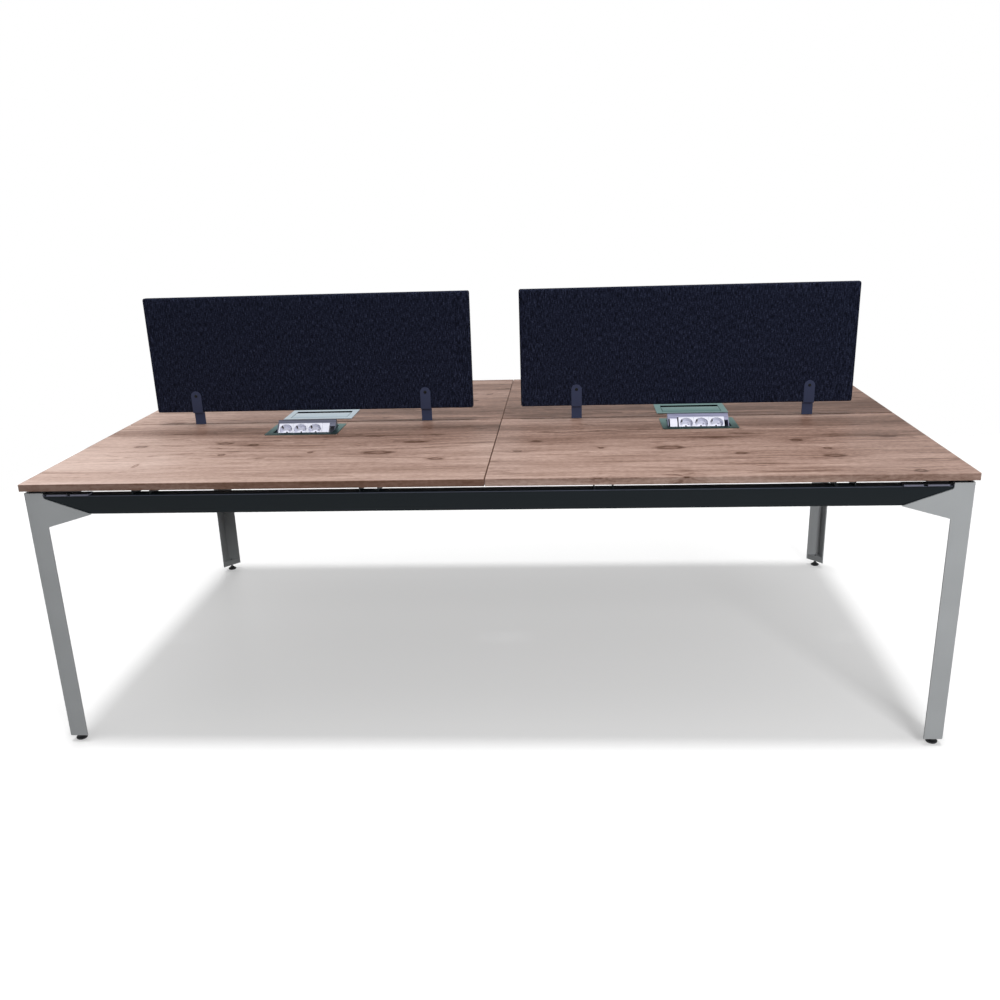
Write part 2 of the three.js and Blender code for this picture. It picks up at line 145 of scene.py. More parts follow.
def skin(name, grids, around=True, ends=True):
    """Quads over grids of points, shaped (pieces, rows, columns, 3): the rows run along each piece,
    the columns run round it, and a flat face closes each end."""
    pieces, rows, columns = grids.shape[:3]
    index = np.arange(pieces * rows * columns).reshape(pieces, rows, columns)
    here = index if around else index[..., :-1]
    beside = np.roll(index, -1, 2) if around else index[..., 1:]
    quads = [here[:, :-1], beside[:, :-1], beside[:, 1:], here[:, 1:]]
    faces = np.stack(quads, -1).reshape(-1, 4).tolist()
    if ends:
        faces += index[:, 0, ::-1].tolist() + index[:, -1].tolist()
    mesh = bpy.data.meshes.new(name)
    mesh.from_pydata(grids.reshape(-1, 3), [], faces)
    mesh.shade_smooth()
    mesh.set_sharp_from_angle(angle=crease)
    made = bpy.data.objects.new(name, mesh)
    scene.collection.objects.link(made)
    return made


camera_data = bpy.data.cameras.new("camera")
camera_data.sensor_width = 36
camera_data.lens = 36.05
camera_data.shift_x = -0.0053
camera_data.shift_y = 0.0436
camera = bpy.data.objects.new("camera", camera_data)
camera.location = (0.2137, -3.0897, 1.4175)
camera.rotation_euler = (1.2345, 0.0294, 0.0593)
scene.collection.objects.link(camera)
scene.camera = camera

floor_reach = np.linspace(-2.8, 2.8, 5)
floor_x, floor_y = np.meshgrid(floor_reach, floor_reach)
floor_points = np.stack([floor_x, floor_y, 0 * floor_x], -1)
floor = skin("floor", floor_points[None], around=False, ends=False)
floor_seen, floor_bounce, floor_glow = (1, 1, 1, 1), (0.06, 0.06, 0.06, 1), 0.33
floor_finish = bpy.data.materials.new("pale_floor")
floor_finish.use_nodes = True
floor_tree = floor_finish.node_tree
floor_shader = floor_tree.nodes["Principled BSDF"]
floor_shader.inputs["Roughness"].default_value = 1.0
floor_shader.inputs["Specular IOR Level"].default_value = 0.0
floor_white = seen_white(floor_tree)
mixed(floor_white, floor_bounce, floor_seen).into(floor_shader.inputs["Base Color"])
glow = floor_white.node("ShaderNodeEmission", inputs={"Strength": 1.0})
floor_mix = {0: floor_glow * floor_white, 1: Tone(floor_tree, floor_shader.outputs[0]), 2: glow}
floor_surface = floor_white.node("ShaderNodeMixShader", inputs=floor_mix)
floor_surface.into(floor_tree.nodes["Material Output"].inputs["Surface"])
floor.data.materials.append(floor_finish)

surround = bpy.data.worlds.new("white_surround")
surround.use_nodes = True
scene.world = surround
backdrop = surround.node_tree.nodes["Background"]
backdrop.inputs["Color"].default_value = (1, 1, 1, 1)
outlook = Tone(surround.node_tree).node("ShaderNodeTexCoord", output="Generated")
height = coordinate(outlook, "Z")
side_light, top_light = 0.1, 0.6
surround_light = side_light + top_light * height * height
surround_white = seen_white(surround.node_tree)
(surround_light + (1 - surround_light) * surround_white).into(backdrop.inputs["Strength"])

overhead = bpy.data.lights.new("overhead_lamp", "SUN")
overhead.energy = 1.8
overhead.angle = math.radians(8)
overhead_lamp = bpy.data.objects.new("overhead_lamp", overhead)
overhead_lamp.location = (0, 0, 5)
overhead_lamp.visible_glossy = False
scene.collection.objects.link(overhead_lamp)

lamp_size, lamp_tilt = 1.5, math.radians(63)
lamps = {
    "front_lamp": ((1.9, -4.5, 2.6), math.radians(23), 125),
    "rear_lamp": ((-1.9, 4.5, 2.6), math.radians(203), 45),
}
for name, (place, heading, watts) in lamps.items():
    panel = bpy.data.lights.new(name, "AREA")
    panel.size = lamp_size
    panel.energy = watts
    lamp = bpy.data.objects.new(name, panel)
    lamp.location = place
    lamp.rotation_euler = (lamp_tilt, 0, heading)
    lamp.visible_glossy = False
    scene.collection.objects.link(lamp)


def softened(node, width, finish):
    """The node's own solid with its edges broken: a merged copy, its flat faces joined, a narrow bevel
    round every edge and smooth shading over the curves. It stands for the node and moves with it."""
    merge_gap, flat_angle, edge_angle = 2e-6, math.radians(1), math.radians(40)
    mesh = frame["nodes"][node].data.copy()
    mesh.name = node + "_finished"
    solid = bmesh.new()
    solid.from_mesh(mesh)
    bmesh.ops.remove_doubles(solid, verts=solid.verts, dist=merge_gap)
    bmesh.ops.dissolve_limit(solid, angle_limit=flat_angle, verts=solid.verts, edges=solid.edges)
    solid.to_mesh(mesh)
    solid.free()
    if "custom_normal" in mesh.attributes:
        mesh.attributes.remove(mesh.attributes["custom_normal"])
    mesh.materials.clear()
    mesh.materials.append(finish)
    mesh.shade_smooth()
    mesh.set_sharp_from_angle(angle=crease)
    made = bpy.data.objects.new(node + "_finished", mesh)
    scene.collection.objects.link(made)
    edge = made.modifiers.new("broken_edge", "BEVEL")
    edge.width = width
    edge.segments = 2
    edge.limit_method = "ANGLE"
    edge.angle_limit = edge_angle
    edge.harden_normals = True
    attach(made, frame["nodes"][node]["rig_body"])
    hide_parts(node)


def new_finish(name):
    """A bare finish, the sockets of its shader, and the point on the piece that its patterns read."""
    finish = bpy.data.materials.new(name)
    finish.use_nodes = True
    shader = finish.node_tree.nodes["Principled BSDF"].inputs
    place = Tone(finish.node_tree).node("ShaderNodeTexCoord", output="Object")
    return finish, shader, place


def noise(place, scale, detail):
    """Soft noise over the point, of about so many waves to the metre, with finer waves in it for detail."""
    return place.node("ShaderNodeTexNoise", inputs={"Vector": place, "Scale": scale, "Detail": detail})


def bumped(height, strength, distance):
    """The normal of a surface that the height raises, a height of 1 by the distance in metres."""
    inputs = {"Strength": strength, "Distance": distance, "Height": height}
    return height.node("ShaderNodeBump", inputs=inputs)


def shaded(colour, share):
    """The colour times a share, and no lighter than white."""
    return (*(min(1.0, share * value) for value in colour[:3]), 1.0)


def tint(red, green, blue):
    """A colour as a screen shows it, from 0 to 255, turned to the linear colour of a shader."""
    screen = np.array([red, green, blue]) / 255
    linear = np.where(screen <= 0.04045, screen / 12.92, ((screen + 0.055) / 1.055) ** 2.4)
    return (*linear.tolist(), 1.0)


def powder_coat(name, colour, rough, shine):
    """Sprayed paint: a faint cloudy change of tone, and an orange-peel bump about a millimetre across."""
    finish, shader, place = new_finish(name)
    shader["Specular IOR Level"].default_value = shine
    cloud = noise(place, scale=7.0, detail=3.0)
    peel = noise(place, scale=900.0, detail=2.0)
    speck = noise(place, scale=2600.0, detail=1.0)
    tone = mixed(0.65 * cloud + 0.35 * speck, shaded(colour, 0.86), shaded(colour, 1.16))
    tone.into(shader["Base Color"])
    (rough - 0.06 + 0.12 * peel).into(shader["Roughness"])
    bumped(peel + 0.4 * speck, strength=0.12, distance=0.0004).into(shader["Normal"])
    return finish


def shade_within(finish, low, high, shade):
    """Inside the box from low to high, the finish gives way to one flat colour, used here for painted
    highlights, painted shade and a bright cut edge.
    """
    base = finish.node_tree.nodes["Principled BSDF"].inputs["Base Color"]
    coat = Tone(finish.node_tree, base.links[0].from_socket)
    place = coat.node("ShaderNodeTexCoord", output="Object")
    inside = None
    for axis, start, end in zip("XYZ", low, high):
        along = coordinate(place, axis)
        offset = along.math("ABSOLUTE", along - (start + end) / 2)
        within = along.math("LESS_THAN", offset, (end - start) / 2)
        inside = inside * within if inside else within
    mixed(inside, coat, shade).into(base)


anthracite = powder_coat("anthracite_coat", tint(23, 29, 33), rough=0.42, shine=0.14)
steel_edge = 0.0005
# Painted highlight: a lighter lilac strip along each beam's upper outer edge stands for the light its
# rounded edge catches.
edge_highlight_colour, edge_highlight_high, edge_highlight_deep, margin = tint(80, 84, 98), 0.0022, 0.0018, 0.0003
facing = {"beam_front": (1, -1), "beam_rear": (1, 1), "beam_left": (0, -1), "beam_right": (0, 1)}
for beam, (axis, outward) in facing.items():
    edge_highlight_from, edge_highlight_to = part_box(beam)
    if outward < 0:
        edge_highlight_to[axis] = edge_highlight_from[axis] + edge_highlight_deep
        edge_highlight_from[axis] -= margin
    else:
        edge_highlight_from[axis] = edge_highlight_to[axis] - edge_highlight_deep
        edge_highlight_to[axis] += margin
    edge_highlight_from.z = edge_highlight_to.z - edge_highlight_high
    edge_highlight_to.z += margin
    shade_within(anthracite, edge_highlight_from, edge_highlight_to, edge_highlight_colour)
    softened(beam, steel_edge, anthracite)
for number in range(1, 5):
    softened(f"support_rail_{number}", steel_edge, anthracite)


# Corner legs: 4 mm sheet folded to an angle, with a pointed wing before the beam and tabs over it.
# Each is coated silver grey, with painted shade on its tabs, near black on their tops under the board and
# darker lilac grey on their edges, and black button-head screws in slots hold the tabs down on the beams.
def button_heads(name, centres, normal, across, radius, height, finish):
    """Domed screw heads. Outside the drive the radius is R sin(a) and the height H (skirt + crown cos(a)),
    a going up to a quarter turn, where the skirt drops to the seat. The drive is a hexagon: its radius is
    A / cos(b), b the angle from the middle of a flat."""
    sides, rings, dome_start, skirt, crown = 30, 6, 0.45, 0.12, 0.84
    drive_half, drive_floor, drive_mouth = 0.36, 0.25, 0.86
    normal = np.asarray(normal, float)
    across = np.asarray(across, float)
    third = np.cross(normal, across)
    turn = np.linspace(0, 2 * np.pi, sides, endpoint=False)
    flat = np.mod(turn, np.pi / 3) - np.pi / 6
    hexagon = drive_half / np.cos(flat)
    dome = np.linspace(dome_start, np.pi / 2, rings)
    reach = np.concatenate([[hexagon, hexagon], np.sin(dome)[:, None] + 0 * turn, [1 + 0 * turn]])
    level = np.concatenate([[drive_floor, drive_mouth], skirt + crown * np.cos(dome), [0.0]])
    spoke = np.cos(turn)[:, None] * across + np.sin(turn)[:, None] * third
    head = radius * reach[..., None] * spoke + height * level[:, None, None] * normal
    heads = np.asarray(centres, float)[:, None, None] + head
    made = skin(name, heads[:, ::-1])
    made.data.materials.append(finish)
    return made


def blackened_steel(name, colour, rough):
    """Dark plated steel, mottled with patches of a lighter and duller tone."""
    finish, shader, place = new_finish(name)
    shader["Metallic"].default_value = 0.7
    patch = noise(place, scale=400.0, detail=3.0)
    mixed(patch, colour, shaded(colour, 1.5)).into(shader["Base Color"])
    (rough - 0.1 + 0.2 * patch).into(shader["Roughness"])
    bumped(patch, strength=0.2, distance=0.0001).into(shader["Normal"])
    return finish


corners = ("front_left", "front_right", "rear_left", "rear_right")
silver_grey = powder_coat("silver_grey_coat", tint(184, 187, 189), rough=0.5, shine=0.2)
black_steel = blackened_steel("black_screw_steel", tint(26, 27, 29), rough=0.42)
leg_edge, tab_sheet = 0.0006, 0.004
leg_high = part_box("leg_rear_right")[1]
tab_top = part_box("beam_rear")[1].z + tab_sheet

# Painted shade: the tabs' front and side edges take a darker lilac grey for the shade under the board.
front_tab_start, side_tab_start, tab_edge_deep = 0.0505, 0.0605, 0.0042
front_tabs = (leg_high.x - front_tab_start, leg_high.y + margin)
side_tabs = (leg_high.x + margin, leg_high.y - side_tab_start)
for tab_x, tab_y in (front_tabs, side_tabs):
    tab_edge_shade_from, tab_edge_shade_to = (-tab_x, -tab_y, tab_top - tab_edge_deep), (tab_x, tab_y, tab_top + margin)
    shade_within(silver_grey, tab_edge_shade_from, tab_edge_shade_to, tint(122, 124, 140))
# Painted shade: the tab tops, under the board's overhang, take a near-black colour for the shade there.
tab_rim, tab_face, tab_over = 0.0045, 0.0004, 0.01
tab_top_shade_x, tab_top_shade_y = leg_high.x - tab_rim, leg_high.y - tab_rim
tab_top_shade_from, tab_top_shade_to = (-tab_top_shade_x, -tab_top_shade_y, tab_top - tab_face), (tab_top_shade_x, tab_top_shade_y, tab_top + tab_over)
shade_within(silver_grey, tab_top_shade_from, tab_top_shade_to, tint(30, 31, 34))

screw_from_side = np.array([0.056, 0.118, 0.010, 0.010])
screw_from_front = np.array([0.010, 0.010, 0.066, 0.128])
screw_places = []
for corner in corners:
    softened("leg_" + corner, leg_edge, silver_grey)
    side = 1 if "right" in corner else -1
    row = 1 if "rear" in corner else -1
    screw_x = side * (leg_high.x - screw_from_side)
    screw_y = row * (leg_high.y - screw_from_front)
    screw_places.append(np.stack([screw_x, screw_y, 0 * screw_x + tab_top], -1))
tab_heads = np.concatenate(screw_places)
upward, rightward = (0, 0, 1), (1, 0, 0)
tab_head_radius, tab_head_height = 0.0075, 0.0042
tab_head = (tab_head_radius, tab_head_height, black_steel)
tab_screws = button_heads("tab_screws", tab_heads, upward, rightward, *tab_head)
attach(tab_screws, "desk")


# Levelling feet: black moulded bases with gripping ribs, each on a threaded steel stud.
# The stud runs up through the plate and the weld nut inside its leg.
def levelling_foot(name, low, high):
    """Turned shape: radius by height, with 24 ribs round the base rim and, up the stud, a thread whose
    radius swings with the height over the pitch less the turn."""
    ribs, rib_deep, rib_from, rib_to = 24, 0.0002, 0.002, 0.005
    stud_radius, tip_radius, pitch, thread_deep = 0.0037, 0.003, 0.00125, 0.0003
    stud_from, thread_from, thread_end, tip_high = 0.0122, 0.013, 0.0015, 0.001
    rows, columns = 320, 48
    centre = (low + high) / 2
    base = np.array([
        (0.0118, 0.0), (0.0132, 0.0004), (0.0148, 0.0022), (0.0148, 0.0046), (0.0142, 0.0058),
        (0.0122, 0.0068), (0.0085, 0.0072), (0.0078, 0.0082), (0.0072, 0.0116), (0.0066, 0.012),
        (0.0042, 0.012),
    ])
    climb = np.linspace(stud_from, high.z - tip_high, rows)
    stud = np.stack([0 * climb + stud_radius, climb], -1)
    tip = np.array([(tip_radius, high.z)])
    radius, level = np.concatenate([base, stud, tip]).T
    turn = np.linspace(0, 2 * np.pi, columns, endpoint=False)
    ribbed = (level > rib_from) & (level < rib_to)
    threaded = (level > thread_from) & (level < high.z - thread_end)
    phase = 2 * np.pi * level[:, None] / pitch - turn
    rib = rib_deep * np.cos(ribs * turn) * ribbed[:, None]
    thread = thread_deep * np.cos(phase) * threaded[:, None]
    reach = radius[:, None] + rib + thread
    x = centre.x + reach * np.cos(turn)
    y = centre.y + reach * np.sin(turn)
    z = level[:, None] + 0 * reach
    return skin(name, np.stack([x, y, z], -1)[None])


def foot_finish():
    """Black moulding below 12 mm, zinc-plated stud above it, both finely mottled."""
    finish, shader, place = new_finish("foot_plastic_and_stud")
    stud_level = 0.0121
    level = coordinate(place, "Z")
    stud = level.math("GREATER_THAN", level, stud_level)
    mottle = noise(place, scale=700.0, detail=3.0)
    plastic = mixed(mottle, tint(16, 17, 19), tint(34, 35, 38))
    zinc = mixed(mottle, tint(96, 98, 100), tint(150, 152, 154))
    mixed(stud, plastic, zinc).into(shader["Base Color"])
    (0.8 * stud).into(shader["Metallic"])
    (0.62 - 0.22 * stud + 0.1 * mottle).into(shader["Roughness"])
    bumped(mottle, strength=0.25, distance=0.0002).into(shader["Normal"])
    return finish


black_moulding = foot_finish()
for corner in corners:
    foot = levelling_foot("foot_" + corner, *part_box("levelling_foot_" + corner))
    foot.data.materials.append(black_moulding)
    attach(foot, "foot_" + corner)
    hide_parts("levelling_foot_" + corner)


# Worktops: four 18 mm boards faced with a matt wood print, its grain along the desk, screwed to the rails.
# Each has a wood-print band glued round its edges, and a cut-out for its power unit.
def wood_print(name, shift, knots, shading, shades):
    """Long-grain print. The grain runs along X, and across it is Y less Z, so that it folds over the edges.
    Cloudy bands, streaks, fibre, dark lines and clustered cracks are noises drawn out along the grain. A
    knot is an ellipse, dark in a ring at its rim, and the grain bends where the nearest one is close. The
    heart stripe is a dark stripe beside the inner edge, of 1 / (1 + d^2), d the distance from its middle
    over
    its half width: partly the print's darker heart and partly a painted shadow of the screens. The shading,
    the board's middle tone, how much that changes with X squared and the stripe's depth, differs from board
    to board as painted light and shade."""
    board_top, heart_shadow_place, heart_shadow_half = 0.75, 0.12, 0.09
    rim_place, rim_sharp, rim_ragged = 0.75, 2.2, 1.5
    middle, change, heart_shadow_depth = shading
    finish, shader, place = new_finish(name)
    shader["Specular IOR Level"].default_value = 0.08
    along = coordinate(place, "X")
    across = coordinate(place, "Y") - (coordinate(place, "Z") - board_top)

    def drawn(waves_along, waves_across, detail, lateral):
        """Noise about zero, with so many waves to the metre along the grain and on the lateral place."""
        point = {0: along * waves_along, 1: lateral * waves_across, 2: shift}
        flow = along.node("ShaderNodeCombineXYZ", inputs=point)
        grain = {"Vector": flow, "Scale": 1.0, "Detail": detail, "Roughness": 0.6}
        return along.node("ShaderNodeTexNoise", inputs=grain) - 0.5

    def above(value, edge, gain):
        """How far the value stands above the edge, times the gain, from 0 to 1."""
        return value.math("MULTIPLY", value - edge, gain, clamp=True)

    flat = along.node("ShaderNodeCombineXYZ", inputs={0: along, 1: across, 2: 0.0})
    near = None
    for knot_x, knot_y, half_length, half_width in knots:
        stretch = (1 / half_length, 1 / half_width, 0)
        offset = (-knot_x / half_length, -knot_y / half_width, 0)
        ellipse = {0: flat, 1: stretch, 2: offset}
        scaled = flat.node("ShaderNodeVectorMath", {"operation": "MULTIPLY_ADD"}, ellipse)
        away = flat.node("ShaderNodeVectorMath", {"operation": "LENGTH"}, {0: scaled}, "Value")
        near = near.math("MINIMUM", near, away) if near else away
    ragged = near + rim_ragged * drawn(45.0, 320.0, 3.0, across)
    from_rim = rim_sharp * (ragged - rim_place)
    rim = 1 - from_rim.math("ABSOLUTE", from_rim)
    rim = rim.math("MAXIMUM", rim, 0.0)
    core = above(1.0 - ragged, 0.0, 4.0)
    halo = along.math("DIVIDE", 1.0, 1.0 + 0.3 * near * near)
    bent = across + 0.02 * halo + 0.05 * drawn(1.5, 3.0, 2.0, across)

    # Painted shadow: besides the print's heart, this stripe stands for the shade of the screens on the
    # boards.
    from_heart_shadow = (bent.math("ABSOLUTE", bent) - heart_shadow_place) * (1 / heart_shadow_half)
    heart_and_shadow = along.math("DIVIDE", 1.0, 1.0 + from_heart_shadow * from_heart_shadow)
    band = drawn(1.3, 9.0, 4.0, bent)
    streak = drawn(4.0, 55.0, 4.0, bent)
    fibre = drawn(60.0, 140.0, 3.0, bent)
    line = above(drawn(2.2, 24.0, 4.0, bent + 5.3), 0.06, 8.0)
    cluster = above(drawn(1.6, 7.0, 2.0, bent + 2.7), -0.08, 6.0)
    crack = cluster * above(drawn(9.0, 32.0, 4.0, bent + 9.1), 0.08, 10.0)
    tone = middle + change * along * along + 0.85 * band + 0.65 * streak + 0.55 * fibre
    tone = tone - heart_shadow_depth * heart_and_shadow - 0.25 * line - 0.34 * crack
    tone = tone - 0.1 * halo - 0.33 * rim - 0.12 * core
    ramp = {"stops": list(zip((0.0, 0.3, 0.5, 0.68, 0.95), shades))}
    along.node("ShaderNodeValToRGB", ramp, {0: tone}).into(shader["Base Color"])
    (0.5 + 0.25 * fibre + 0.2 * streak).into(shader["Roughness"])
    relief = fibre + streak - 0.4 * core - 0.3 * crack
    bumped(relief, strength=0.18, distance=0.0003).into(shader["Normal"])
    return finish


def edge_band(name, low, high, seam):
    """A 1.5 mm strip carried round the board: the path is a rectangle with rounded corners, and the strip's
    profile steps out from the board, round its upper edge, down its face and back under. Where it faces the
    board beside it, seam being that side's sign along X, it bows out by B (1 - (2h)^2), h the height from
    its middle over the board's thickness."""
    thick, soft, bow, inner = 0.0015, 0.0005, 0.0008, 0.0003
    bends, rows = 5, 9
    half = (high - low) / 2
    middle = (high + low) / 2
    bend = np.linspace(0, np.pi / 2, bends)
    upper_out = thick - soft + soft * np.sin(bend)
    upper_up = high.z - soft + soft * np.cos(bend)
    face_up = np.linspace(high.z - soft, low.z + soft, rows)[1:-1]
    out = np.concatenate([[0.0], upper_out, 0 * face_up + thick, upper_out[::-1], [0.0]])
    up = np.concatenate([[high.z], upper_up, face_up, low.z + high.z - upper_up[::-1], [low.z]])
    turn = (np.arange(4)[:, None] * np.pi / 2 + bend).reshape(-1)
    quarter = np.arange(4).repeat(bends)
    corner_x = middle.x + (half.x - thick - inner) * np.array([1, -1, -1, 1])[quarter]
    corner_y = middle.y + (half.y - thick - inner) * np.array([1, 1, -1, -1])[quarter]
    bulge = bow * (1 - ((up - middle.z) / half.z) ** 2)
    toward_seam = np.maximum(seam * np.cos(turn), 0)
    x = corner_x + (inner + out[:, None]) * np.cos(turn) + seam * bulge[:, None] * toward_seam
    y = corner_y + (inner + out[:, None]) * np.sin(turn)
    z = up[:, None] + 0 * x
    strip = np.stack([x, y, z], -1)
    return skin(name, np.concatenate([strip, strip[:1]])[None, ::-1], ends=False)


face_shades = [
    tint(84, 60, 49), tint(136, 109, 97), tint(167, 140, 128), tint(189, 162, 150), tint(213, 189, 178),
]
# Painted shade: only the front-left board's edge band takes these darker shades, for the shade on it.
shaded_band_shades = [
    tint(58, 41, 32), tint(92, 68, 57), tint(110, 83, 70), tint(128, 100, 87), tint(158, 132, 120),
]
left_knots = np.array([
    (-1.038, -0.303, 0.020, 0.014), (-0.796, -0.278, 0.026, 0.012), (-0.704, -0.299, 0.016, 0.012),
    (-0.762, -0.413, 0.011, 0.012), (-0.513, -0.399, 0.008, 0.009), (-0.321, -0.410, 0.046, 0.020),
    (-0.150, -0.488, 0.022, 0.013), (-0.232, -0.290, 0.034, 0.010), (-0.964, -0.520, 0.007, 0.020),
])
right_knots = np.array([
    (0.117, -0.305, 0.016, 0.010), (0.069, -0.418, 0.012, 0.010), (0.485, -0.401, 0.042, 0.020),
    (0.838, -0.336, 0.017, 0.014), (1.094, -0.304, 0.022, 0.014), (0.900, -0.431, 0.012, 0.011),
    (0.900, -0.512, 0.030, 0.014), (0.666, -0.472, 0.018, 0.010), (0.298, -0.395, 0.008, 0.009),
    (1.068, -0.669, 0.016, 0.014), (0.498, -0.711, 0.010, 0.016),
])
turned_about = np.array([-1, -1, 1, 1])
knots_of = {
    "front_left": left_knots,
    "front_right": right_knots,
    "rear_left": right_knots * turned_about,
    "rear_right": left_knots * turned_about,
}
# Painted light and shade: the rear boards are darker in their middle tone, the ends lighter or darker along
# X as light falls, and the heart stripe deeper where the screens' shadow lies.
shading_of = {
    "front_left": (0.56, 0.23, 0.5),
    "front_right": (0.515, -0.09, 0.3),
    "rear_left": (0.32, 0.32, 0.14),
    "rear_right": (0.31, -0.03, 0.28),
}
first_shift, next_shift = 1.9, 3.17
for number, corner in enumerate(corners):
    grain = (next_shift * number + first_shift, knots_of[corner].tolist(), shading_of[corner])
    edge_shades = shaded_band_shades if corner == "front_left" else face_shades
    board = frame["nodes"]["worktop_" + corner]
    board.data.materials.clear()
    board.data.materials.append(wood_print("wood_face_" + corner, *grain, face_shades))
    seam = -1 if "right" in corner else 1
    band = edge_band("edge_strip_" + corner, *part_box("edge_band_" + corner), seam)
    band.data.materials.append(wood_print("wood_edge_" + corner, *grain, edge_shades))
    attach(band, "desk")
    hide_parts("edge_band_" + corner)


# Power units: satin anodised flanges let into the worktops, with dark sheet tubs under them.
# A flap turns on a steel pin in the flange's ears, and lifts the leaning socket face into reach.
def stretched(place, waves):
    """The point with each coordinate times its own number of waves to the metre."""
    return place.node("ShaderNodeVectorMath", {"operation": "MULTIPLY"}, {0: place, 1: waves})


def brushed_metal(name, colour, rough, grazing):
    """Anodised metal brushed along X: a fine noise drawn out along X changes tone, gloss and height. The
    grazing colour tints what it mirrors at a flat angle."""
    finish, shader, place = new_finish(name)
    shader["Metallic"].default_value = 0.9
    shader["Specular Tint"].default_value = grazing
    brush_waves = (14.0, 2400.0, 2400.0)
    brush = noise(stretched(place, brush_waves), scale=1.0, detail=2.0)
    smear = noise(place, scale=22.0, detail=3.0)
    tone = mixed(0.7 * brush + 0.3 * smear, shaded(colour, 0.84), shaded(colour, 1.1))
    tone.into(shader["Base Color"])
    (rough - 0.08 + 0.1 * brush + 0.08 * smear).into(shader["Roughness"])
    bumped(brush, strength=0.08, distance=0.0002).into(shader["Normal"])
    return finish


# Painted light: every unit has the same anodised finish; the tints that differ from unit to unit, and the
# green cast on some reflections, stand for the light and reflections each unit catches.
clear, green = (1, 1, 1, 1), (0.62, 0.78, 0.77, 1)
unit_tints_as_lit = {
    "front_left": (tint(84, 106, 105), green, tint(122, 124, 142), clear),
    "front_right": (tint(76, 102, 98), green, tint(172, 173, 200), clear),
    "rear_left": (tint(164, 183, 195), clear, tint(164, 183, 195), clear),
    "rear_right": (tint(94, 118, 118), green, tint(94, 118, 118), green),
}
bright_steel = brushed_metal("bright_pin_steel", tint(150, 153, 156), 0.28, clear)
dark_sheet = powder_coat("dark_sheet_coat", tint(17, 18, 20), rough=0.55, shine=0.1)
cut_edge_highlight, unlit_inside = tint(196, 194, 208), tint(14, 15, 17)
satin, unit_edge, flange_face = 0.3, 0.0003, 0.0005
for corner, (flange_tint, flange_cast, flap_tint, flap_cast) in unit_tints_as_lit.items():
    flange_finish = brushed_metal("flange_aluminium_" + corner, flange_tint, satin, flange_cast)
    flap_finish = brushed_metal("flap_aluminium_" + corner, flap_tint, satin, flap_cast)
    rim_low, rim_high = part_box("power_frame_" + corner)
    tub_low, tub_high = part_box("power_tub_" + corner)
    rim_high.z -= flange_face
    tub_high.z = rim_high.z
    # The flange's outer rim takes a bright colour, partly the real bright cut edge of the aluminium and
    # partly a painted highlight; the tub's inner walls are painted unlit dark.
    shade_within(flange_finish, rim_low, rim_high, cut_edge_highlight)
    shade_within(flange_finish, tub_low, tub_high, unlit_inside)
    softened("power_frame_" + corner, unit_edge, flange_finish)
    softened("power_flap_" + corner, unit_edge, flap_finish)
    for node, finish in (("power_tub_", dark_sheet), ("hinge_pin_", bright_steel)):
        part = frame["nodes"][node + corner]
        part.data.materials.clear()
        part.data.materials.append(finish)


# Socket modules: white moulded plastic, three sockets in a row and a blank, clipped into the flap's face.
# Each socket has a pair of sprung earth clips on its wall and a screw in the middle of its floor.
def white_moulding(name, joints):
    """Glossy white plastic with a faint flow mottle, the fine sparked grain of a mould, and a dark line
    across the row at each X where two sockets are joined."""
    half_line = 0.0003
    finish, shader, place = new_finish(name)
    shader["IOR"].default_value = 1.5
    along = coordinate(place, "X")
    flow = noise(place, scale=60.0, detail=3.0)
    grain = noise(place, scale=3000.0, detail=1.0)
    near = along.math("ABSOLUTE", along - joints[0])
    for joint in joints[1:]:
        near = near.math("MINIMUM", near, along.math("ABSOLUTE", along - joint))
    line = near.math("LESS_THAN", near, half_line)
    white = mixed(flow, tint(216, 217, 231), tint(233, 234, 247))
    mixed(0.7 * line, white, tint(96, 96, 108)).into(shader["Base Color"])
    (0.24 + 0.12 * grain + 0.06 * flow).into(shader["Roughness"])
    bumped(0.4 * grain - line, strength=0.1, distance=0.0002).into(shader["Normal"])
    return finish


def earth_clips(name, centres, across, up, normal):
    """Strips of 4 by 0.5 mm section carried out along each recess wall, two to a socket. The path's distance
    from the socket's axis is the wall's radius less a small gap and a bow of B sin(pi t), t going from the
    floor to the mouth."""
    wall, gap, bow, half_deep = 0.0194, 0.0004, 0.0024, 0.0068
    half_wide, thick, rows = 0.002, 0.0005, 13
    climb = np.linspace(0, 1, rows)
    reach = wall - gap - bow * np.sin(np.pi * climb)
    rise = half_deep * (2 * climb - 1)
    section = np.array([(-half_wide, 0), (half_wide, 0), (half_wide, thick), (-half_wide, thick)])
    strips = []
    for angle in (math.radians(135), math.radians(315)):
        radial = math.cos(angle) * across + math.sin(angle) * up
        tangent = np.cross(normal, radial)
        path = reach[:, None] * radial + rise[:, None] * normal
        strips.append(path[:, None] + section[:, :1] * tangent - section[:, 1:] * radial)
    clips = centres[:, None, None, None] + np.stack(strips)
    return skin(name, clips.reshape(-1, rows, len(section), 3))


